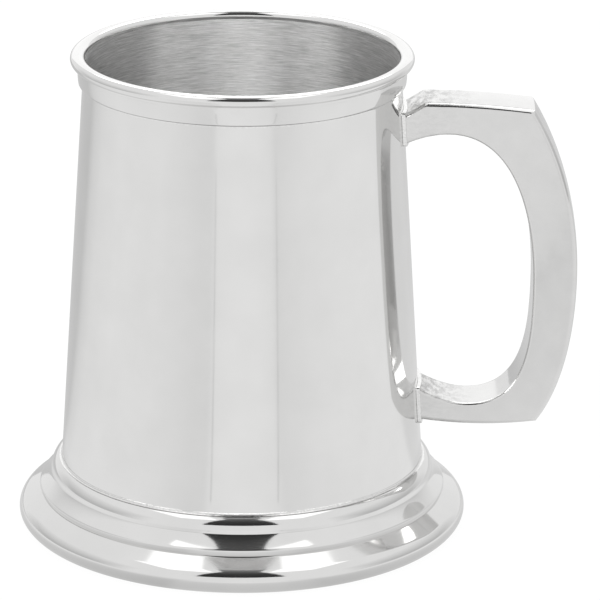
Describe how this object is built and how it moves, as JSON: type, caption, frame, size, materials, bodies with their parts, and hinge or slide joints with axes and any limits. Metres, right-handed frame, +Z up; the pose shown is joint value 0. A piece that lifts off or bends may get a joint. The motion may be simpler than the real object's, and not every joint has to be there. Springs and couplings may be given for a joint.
{
  "type": "pewter tankard",
  "caption": "Open one-pint pewter tankard: tapered drum on a stepped, flanged hollow foot, rolled lip over a plain collar, angular cast side handle soldered on.",
  "frame": {"origin": "on the table, under the middle of the footprint from the foot's edge to the outside of the handle; the drum's axis stands at x = -13.4 mm", "axes": "+Z up along the drum's axis; +X from the drum towards the handle"},
  "size_m": [0.138, 0.1112, 0.12],
  "materials": {
    "polished_pewter": "polished",
    "brushed_pewter": "satin",
    "solder": "gloss"
  },
  "bodies": {
    "root": {"body_drum": "polished_pewter", "body_floor": "brushed_pewter", "mouth_rim": "polished_pewter", "foot_ring": "polished_pewter", "handle": "polished_pewter", "upper_handle_solder": "solder", "lower_handle_solder": "solder", "rim_solder": "solder", "foot_solder": "solder", "floor_solder": "solder"}
  },
  "joints": []
}
